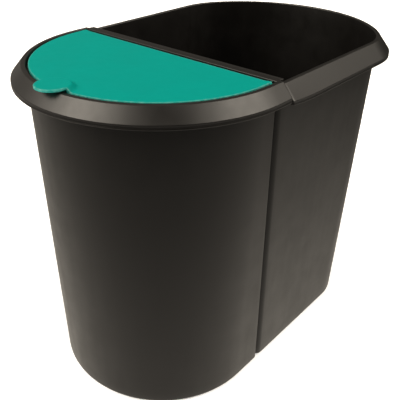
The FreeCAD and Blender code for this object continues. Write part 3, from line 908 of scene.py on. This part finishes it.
class BIN_OT_stage(bpy.types.Operator):
    """Studio: pale floor, soft lights and the camera"""

    bl_idname = "bin.stage"
    bl_label = "Studio"

    def execute(self, context):
        scene = context.scene
        self.floor(scene)
        self.surroundings(scene)
        self.camera(scene)
        scene.view_settings.view_transform = "Standard"
        scene.view_settings.look = "None"
        return {"FINISHED"}

    def floor(self, scene):
        """A flat round sheet: rings of growing radius about the origin. A glow of its own keeps it white."""
        ring = np.linspace(0, 2 * np.pi, 96, endpoint=False)
        radius = np.array([0.3, 0.6, 1.2, 2.5, 5.0])[:, None]
        x, y = radius * np.cos(ring), radius * np.sin(ring)
        index = np.arange(x.size).reshape(x.shape)
        right = np.roll(index, -1, 1)
        quads = np.stack([index[:-1], index[1:], right[1:], right[:-1]], -1).reshape(-1, 4)
        points = np.stack([x, y, np.zeros_like(x)], -1).reshape(-1, 3)
        mesh = bpy.data.meshes.new("studio_floor")
        mesh.from_pydata(points.tolist(), [], quads.tolist() + [index[0].tolist()])
        material = bpy.data.materials.new("studio_floor")
        material.use_nodes = True
        tree = clean_tree(material.node_tree)
        where = add_node(tree, "ShaderNodeTexCoord", output=3)
        rgb = list(scene.bin_finish.floor)
        tone = blend(tree, noise(tree, where, 0.4, 2.0), opaque(rgb, 0.99), opaque(rgb, 1.01))
        shader = add_node(tree, "ShaderNodeBsdfPrincipled", None, {
            "Base Color": tone, "Roughness": 0.8, "Emission Color": (1, 1, 1, 1), "Emission Strength": 0.45,
        })
        add_node(tree, "ShaderNodeOutputMaterial", None, {"Surface": shader})
        mesh.materials.append(material)
        floor = bpy.data.objects.new("studio_floor", mesh)
        scene.collection.objects.link(floor)
        floor.visible_glossy = False

    def surroundings(self, scene):
        """Light by direction: two big soft boxes beside the camera, four weak ones, and a pale ground.

        Each soft box is strength exp(tightness (cosine - 1)) about its middle. Below the horizon the light
        grows with depth, and less of it comes from the camera's side. The camera itself sees plain white.
        """
        world = bpy.data.worlds.new("studio")
        scene.world = world
        world.use_nodes = True
        tree = clean_tree(world.node_tree)
        direction = add_node(tree, "ShaderNodeTexCoord", output=0)
        split = tree.nodes.new("ShaderNodeSeparateXYZ")
        tree.links.new(direction.socket, split.inputs[0])
        x, y, z = (Value(tree, split.outputs[k]) for k in range(3))
        azimuth = scene.bin_studio.azimuth
        ahead = (math.sin(azimuth), -math.cos(azimuth))
        beside = (math.cos(azimuth), math.sin(azimuth))

        def soft_box(turn, height, strength, tightness):
            turn, height = math.radians(turn), math.radians(height)
            level = math.cos(height)
            flat = [level * (math.cos(turn) * a + math.sin(turn) * b) for a, b in zip(ahead, beside)]
            cosine = x * flat[0] + y * flat[1] + z * math.sin(height)
            return x.maths("EXPONENT", (cosine - 1.0) * tightness) * strength

        boxes = soft_box(*SOFT_BOXES[0])
        for box in SOFT_BOXES[1:]:
            boxes = boxes + soft_box(*box)
        away = 1.0 - (x * ahead[0] + y * ahead[1]) / ((x * x + y * y + 1e-6) ** 0.5)
        depth = 0.0 - z
        near = spread(depth, 0.47, 0.74, 0.0, 0.68)
        far = spread(depth, 0.25, 0.45, 0.0, 0.39) + spread(depth, 0.45, 0.72, 0.0, 0.56)
        strength = boxes + near + (far - near) * spread(away, 0.0, 1.15, 0.0, 1.0)
        seen = add_node(tree, "ShaderNodeLightPath", output=0)
        strength = strength * (1.0 - seen) + seen * 1.0
        tint = blend(tree, seen, WARM_WHITE, (1.0, 1.0, 1.0, 1.0))
        back = add_node(tree, "ShaderNodeBackground", None, {"Color": tint, "Strength": strength})
        add_node(tree, "ShaderNodeOutputWorld", None, {"Surface": back})

    def camera(self, scene):
        """The camera looks along -back, where back points from the bin to the camera."""
        studio = scene.bin_studio
        az, el = studio.azimuth, studio.elevation
        back = Vector((math.sin(az) * math.cos(el), -math.cos(az) * math.cos(el), math.sin(el)))
        right = Vector((0, 0, 1)).cross(back).normalized()
        up = back.cross(right)
        data = bpy.data.cameras.new("studio_camera")
        data.sensor_width = 36.0
        data.lens = studio.focal_length
        data.shift_x, data.shift_y = 0.055, -0.0625
        data.clip_start, data.clip_end = 0.01, 50.0
        camera = bpy.data.objects.new("studio_camera", data)
        turn = Matrix((right, up, back)).transposed().to_4x4()
        camera.matrix_world = Matrix.Translation(Vector(studio.place)) @ turn
        scene.collection.objects.link(camera)
        scene.camera = camera


class BIN_PT_pieces(bpy.types.Panel):
    """Lists the bin's pieces and its studio."""

    bl_idname = "BIN_PT_pieces"
    bl_label = "Recycling bin"
    bl_space_type = "VIEW_3D"
    bl_region_type = "UI"
    bl_category = "Bin"

    def draw(self, context):
        for operator in OPERATORS:
            self.layout.operator(operator.bl_idname)
        for group in (context.scene.bin_finish, context.scene.bin_studio, context.scene.bin_sizes):
            for key in group.__annotations__:
                self.layout.prop(group, key)


OPERATORS = (BIN_OT_large_tub, BIN_OT_small_tub, BIN_OT_lid, BIN_OT_stage)
CLASSES = (BinSizes, BinFinish, BinStudio, *OPERATORS, BIN_PT_pieces)


def register():
    for cls in CLASSES:
        bpy.utils.register_class(cls)
    bpy.types.Scene.bin_sizes = PointerProperty(type=BinSizes)
    bpy.types.Scene.bin_finish = PointerProperty(type=BinFinish)
    bpy.types.Scene.bin_studio = PointerProperty(type=BinStudio)


def unregister():
    del bpy.types.Scene.bin_sizes, bpy.types.Scene.bin_finish, bpy.types.Scene.bin_studio
    for cls in reversed(CLASSES):
        bpy.utils.unregister_class(cls)


def main():
    register()
    bpy.ops.bin.large_tub()
    bpy.ops.bin.small_tub()
    bpy.ops.bin.lid()
    bpy.ops.bin.stage()


if __name__ == "__main__":
    main()
